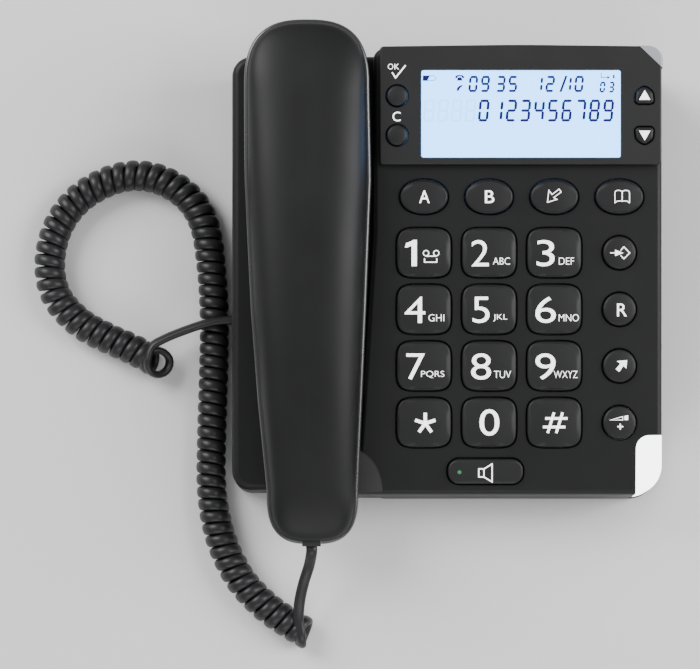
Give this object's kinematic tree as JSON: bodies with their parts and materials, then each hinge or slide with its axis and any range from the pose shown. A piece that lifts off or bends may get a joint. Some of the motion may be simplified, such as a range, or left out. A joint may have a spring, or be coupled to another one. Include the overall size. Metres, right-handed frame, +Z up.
{
  "type": "corded desk telephone",
  "caption": "Corded desk telephone: sloping base with a large backlit display and big keys, a lift-off handset lying in its cradle, and a curled handset cord.",
  "frame": {"origin": "bottom centre of the telephone's box, without its cord, on the desk plane under the rubber feet", "axes": "+X across the phone towards the side of the round keys, +Y towards the rear edge above the display, +Z up"},
  "size_m": [0.261, 0.2542, 0.0684],
  "materials": {
    "base_plastic": "fine satin texture, near black",
    "handset_plastic": "fine satin texture, near black",
    "bezel_plastic": "satin, charcoal",
    "key_plastic": "soft-touch satin, black, white printed legends",
    "window_clear": "clear plastic window",
    "lcd_lit": "backlit display, pale blue, on",
    "lens_lit": "translucent white light guide, lit",
    "lens_unlit": "translucent grey light guide, unlit",
    "led_white": "white LED package",
    "led_green": "green light pipe",
    "rubber_grey": "keypad mat",
    "rubber_black": "foot rubber",
    "board_green": "circuit board",
    "steel_screw": "zinc plated",
    "spring_steel": "bright spring wire",
    "speaker_dark": "steel basket and magnet",
    "capsule_metal": "transducer can",
    "socket_plastic": "moulded socket",
    "cell_wrap": "plain dark cell sleeve",
    "contact_metal": "nickel plated",
    "ballast_steel": "plain bar",
    "cord_vinyl": "satin vinyl",
    "plug_clear": "clear modular plug"
  },
  "bodies": {
    "base": {"base_top_cover": "base_plastic", "base_bottom_cover": "base_plastic", "display_bezel": "bezel_plastic", "display_window": "window_clear", "lcd_module": "lcd_lit", "keypad_mat": "rubber_grey", "main_board": "board_green", "rear_ring_lens": "lens_unlit", "front_ring_lens": "lens_lit", "ring_leds": "led_white", "loudspeaker": "speaker_dark", "hook_switch": "socket_plastic", "base_handset_jack": "socket_plastic", "line_jack": "socket_plastic", "batteries": "cell_wrap", "battery_contacts": "contact_metal", "rubber_feet": "rubber_black", "base_screws": "steel_screw", "cord_coil": "cord_vinyl", "cord_tail_handset": "cord_vinyl", "cord_tail_base": "cord_vinyl", "base_plug": "plug_clear", "hook_spring": "spring_steel"},
    "handset": {"handset_back_shell": "handset_plastic", "handset_front_shell": "handset_plastic", "earpiece_receiver": "capsule_metal", "handset_microphone": "capsule_metal", "handset_jack": "socket_plastic", "handset_weight": "ballast_steel", "handset_plug": "plug_clear"},
    "hook": {"hook_plunger": "base_plastic"},
    "battery_door": {"battery_door": "base_plastic"},
    "ringer_slider": {"ringer_slider": "key_plastic"},
    "key_1": {"key_1": "key_plastic"},
    "key_2": {"key_2": "key_plastic"},
    "key_3": {"key_3": "key_plastic"},
    "key_4": {"key_4": "key_plastic"},
    "key_5": {"key_5": "key_plastic"},
    "key_6": {"key_6": "key_plastic"},
    "key_7": {"key_7": "key_plastic"},
    "key_8": {"key_8": "key_plastic"},
    "key_9": {"key_9": "key_plastic"},
    "key_star": {"key_star": "key_plastic"},
    "key_0": {"key_0": "key_plastic"},
    "key_hash": {"key_hash": "key_plastic"},
    "key_memory_a": {"key_memory_a": "key_plastic"},
    "key_memory_b": {"key_memory_b": "key_plastic"},
    "key_callers": {"key_callers": "key_plastic"},
    "key_phone_book": {"key_phone_book": "key_plastic"},
    "key_store": {"key_store": "key_plastic"},
    "key_recall": {"key_recall": "key_plastic"},
    "key_redial": {"key_redial": "key_plastic"},
    "key_boost": {"key_boost": "key_plastic"},
    "key_ok": {"key_ok": "key_plastic"},
    "key_clear": {"key_clear": "key_plastic"},
    "key_up": {"key_up": "key_plastic"},
    "key_down": {"key_down": "key_plastic"},
    "key_speaker": {"key_speaker": "key_plastic", "key_light": "led_green"}
  },
  "joints": [
    {"name": "handset_lift", "type": "slide", "parent": "base", "child": "handset", "axis": [0, -0.1219, 0.9925], "range_m": [0, 0.06]},
    {"name": "hook_rise", "type": "slide", "parent": "base", "child": "hook", "axis": [0, 0, 1], "range_m": [0, 0.004], "deforming": ["hook_spring"]},
    {"name": "battery_door_slide", "type": "slide", "parent": "base", "child": "battery_door", "axis": [0, 1, 0], "range_m": [0, 0.005]},
    {"name": "ringer_slide", "type": "slide", "parent": "base", "child": "ringer_slider", "axis": [1, 0, 0], "range_m": [-0.003, 0.003]},
    {"name": "press_1", "type": "slide", "parent": "base", "child": "key_1", "axis": [0, 0.1219, -0.9925], "range_m": [0, 0.0014], "stiffness_N_per_m": 300, "springref_m": -0.001},
    {"name": "press_2", "type": "slide", "parent": "base", "child": "key_2", "axis": [0, 0.1219, -0.9925], "range_m": [0, 0.0014], "stiffness_N_per_m": 300, "springref_m": -0.001},
    {"name": "press_3", "type": "slide", "parent": "base", "child": "key_3", "axis": [0, 0.1219, -0.9925], "range_m": [0, 0.0014], "stiffness_N_per_m": 300, "springref_m": -0.001},
    {"name": "press_4", "type": "slide", "parent": "base", "child": "key_4", "axis": [0, 0.1219, -0.9925], "range_m": [0, 0.0014], "stiffness_N_per_m": 300, "springref_m": -0.001},
    {"name": "press_5", "type": "slide", "parent": "base", "child": "key_5", "axis": [0, 0.1219, -0.9925], "range_m": [0, 0.0014], "stiffness_N_per_m": 300, "springref_m": -0.001},
    {"name": "press_6", "type": "slide", "parent": "base", "child": "key_6", "axis": [0, 0.1219, -0.9925], "range_m": [0, 0.0014], "stiffness_N_per_m": 300, "springref_m": -0.001},
    {"name": "press_7", "type": "slide", "parent": "base", "child": "key_7", "axis": [0, 0.1219, -0.9925], "range_m": [0, 0.0014], "stiffness_N_per_m": 300, "springref_m": -0.001},
    {"name": "press_8", "type": "slide", "parent": "base", "child": "key_8", "axis": [0, 0.1219, -0.9925], "range_m": [0, 0.0014], "stiffness_N_per_m": 300, "springref_m": -0.001},
    {"name": "press_9", "type": "slide", "parent": "base", "child": "key_9", "axis": [0, 0.1219, -0.9925], "range_m": [0, 0.0014], "stiffness_N_per_m": 300, "springref_m": -0.001},
    {"name": "press_star", "type": "slide", "parent": "base", "child": "key_star", "axis": [0, 0.1219, -0.9925], "range_m": [0, 0.0014], "stiffness_N_per_m": 300, "springref_m": -0.001},
    {"name": "press_0", "type": "slide", "parent": "base", "child": "key_0", "axis": [0, 0.1219, -0.9925], "range_m": [0, 0.0014], "stiffness_N_per_m": 300, "springref_m": -0.001},
    {"name": "press_hash", "type": "slide", "parent": "base", "child": "key_hash", "axis": [0, 0.1219, -0.9925], "range_m": [0, 0.0014], "stiffness_N_per_m": 300, "springref_m": -0.001},
    {"name": "press_memory_a", "type": "slide", "parent": "base", "child": "key_memory_a", "axis": [0, 0.1219, -0.9925], "range_m": [0, 0.0014], "stiffness_N_per_m": 300, "springref_m": -0.001},
    {"name": "press_memory_b", "type": "slide", "parent": "base", "child": "key_memory_b", "axis": [0, 0.1219, -0.9925], "range_m": [0, 0.0014], "stiffness_N_per_m": 300, "springref_m": -0.001},
    {"name": "press_callers", "type": "slide", "parent": "base", "child": "key_callers", "axis": [0, 0.1219, -0.9925], "range_m": [0, 0.0014], "stiffness_N_per_m": 300, "springref_m": -0.001},
    {"name": "press_phone_book", "type": "slide", "parent": "base", "child": "key_phone_book", "axis": [0, 0.1219, -0.9925], "range_m": [0, 0.0014], "stiffness_N_per_m": 300, "springref_m": -0.001},
    {"name": "press_store", "type": "slide", "parent": "base", "child": "key_store", "axis": [0, 0.1219, -0.9925], "range_m": [0, 0.0014], "stiffness_N_per_m": 300, "springref_m": -0.001},
    {"name": "press_recall", "type": "slide", "parent": "base", "child": "key_recall", "axis": [0, 0.1219, -0.9925], "range_m": [0, 0.0014], "stiffness_N_per_m": 300, "springref_m": -0.001},
    {"name": "press_redial", "type": "slide", "parent": "base", "child": "key_redial", "axis": [0, 0.1219, -0.9925], "range_m": [0, 0.0014], "stiffness_N_per_m": 300, "springref_m": -0.001},
    {"name": "press_boost", "type": "slide", "parent": "base", "child": "key_boost", "axis": [0, 0.1219, -0.9925], "range_m": [0, 0.0014], "stiffness_N_per_m": 300, "springref_m": -0.001},
    {"name": "press_ok", "type": "slide", "parent": "base", "child": "key_ok", "axis": [0, 0.1219, -0.9925], "range_m": [0, 0.0014], "stiffness_N_per_m": 300, "springref_m": -0.001},
    {"name": "press_clear", "type": "slide", "parent": "base", "child": "key_clear", "axis": [0, 0.1219, -0.9925], "range_m": [0, 0.0014], "stiffness_N_per_m": 300, "springref_m": -0.001},
    {"name": "press_up", "type": "slide", "parent": "base", "child": "key_up", "axis": [0, 0.1219, -0.9925], "range_m": [0, 0.0014], "stiffness_N_per_m": 300, "springref_m": -0.001},
    {"name": "press_down", "type": "slide", "parent": "base", "child": "key_down", "axis": [0, 0.1219, -0.9925], "range_m": [0, 0.0014], "stiffness_N_per_m": 300, "springref_m": -0.001},
    {"name": "press_speaker", "type": "slide", "parent": "base", "child": "key_speaker", "axis": [0, 0.1219, -0.9925], "range_m": [0, 0.0014], "stiffness_N_per_m": 300, "springref_m": -0.001}
  ],
  "couplings": [
    {"joint": "hook_rise", "follows": "handset_lift", "ratio": 0.066667}
  ]
}
